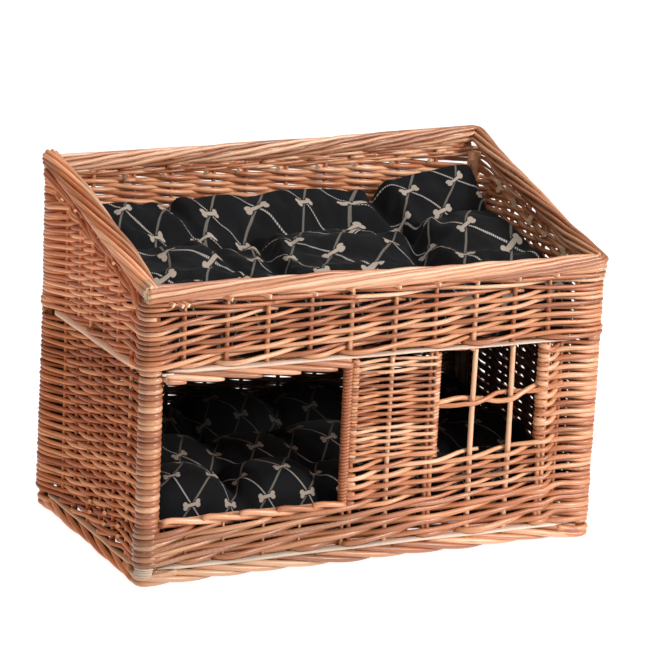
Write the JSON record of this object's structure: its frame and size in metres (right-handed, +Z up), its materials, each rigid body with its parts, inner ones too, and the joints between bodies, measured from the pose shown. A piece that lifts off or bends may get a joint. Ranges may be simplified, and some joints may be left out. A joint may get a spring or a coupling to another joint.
{
  "type": "wicker pet basket",
  "caption": "Two-storey woven willow pet basket: a den with a doorway and a barred window below, an open bed with a raised back above, and a loose cushion on each level.",
  "frame": {"origin": "centre of the footprint, on the resting plane under the foot border", "axes": "+X along the length, to the right seen from the front; -Y is the front with the doorway and window; +Z up"},
  "size_m": [0.602, 0.341, 0.4475],
  "materials": {
    "willow": "satin varnish",
    "peeled_willow": "satin varnish",
    "cushion_fabric": "matte woven cotton"
  },
  "bodies": {
    "basket": {"base_frame_back": "peeled_willow", "base_frame_front": "peeled_willow", "base_frame_left": "peeled_willow", "base_frame_right": "peeled_willow", "base_mat_sticks": "willow", "base_mat_weave": "willow", "corner_post_back_left": "willow", "corner_post_back_right": "willow", "corner_post_front_left": "willow", "corner_post_front_right": "willow", "corner_wrap_back_left": "willow", "corner_wrap_back_right": "willow", "corner_wrap_front_left": "willow", "corner_wrap_front_right": "willow", "door_head_border": "willow", "door_post": "willow", "door_sill_border": "willow", "door_sill_stakes": "willow", "foot_border_back": "willow", "foot_border_front": "willow", "foot_border_left": "willow", "foot_border_right": "willow", "front_base_weave": "willow", "front_pier_weave": "willow", "lower_back_stakes": "willow", "lower_back_weave": "willow", "lower_left_stakes": "willow", "lower_left_weave": "willow", "lower_right_stakes": "willow", "lower_right_weave": "willow", "pier_stake": "willow", "right_pier_stake": "willow", "right_pier_weave": "willow", "rim_back": "willow", "rim_front": "willow", "rim_left": "willow", "rim_right": "willow", "shelf_frame_back": "peeled_willow", "shelf_frame_front": "peeled_willow", "shelf_frame_left": "peeled_willow", "shelf_frame_right": "peeled_willow", "shelf_mat_sticks": "willow", "shelf_mat_weave": "willow", "upper_back_stakes": "willow", "upper_back_weave": "willow", "upper_front_stakes": "willow", "upper_front_weave": "willow", "upper_left_stakes": "willow", "upper_left_weave": "willow", "upper_right_stakes": "willow", "upper_right_weave": "willow", "window_bar_left": "willow", "window_bar_right": "willow", "window_crossbar": "willow", "window_post_left": "willow", "window_post_right": "willow", "window_sill_weave": "willow"},
    "lower_cushion_body": {"lower_cushion": "cushion_fabric"},
    "upper_cushion_body": {"upper_cushion": "cushion_fabric"}
  },
  "joints": [
    {"name": "upper_cushion_lift", "type": "slide", "parent": "basket", "child": "upper_cushion_body", "axis": [0, 0, 1], "range_m": [0, 0.22]},
    {"name": "lower_cushion_lift", "type": "slide", "parent": "basket", "child": "lower_cushion_body", "axis": [0, 0, 1], "range_m": [0, 0.1]}
  ]
}
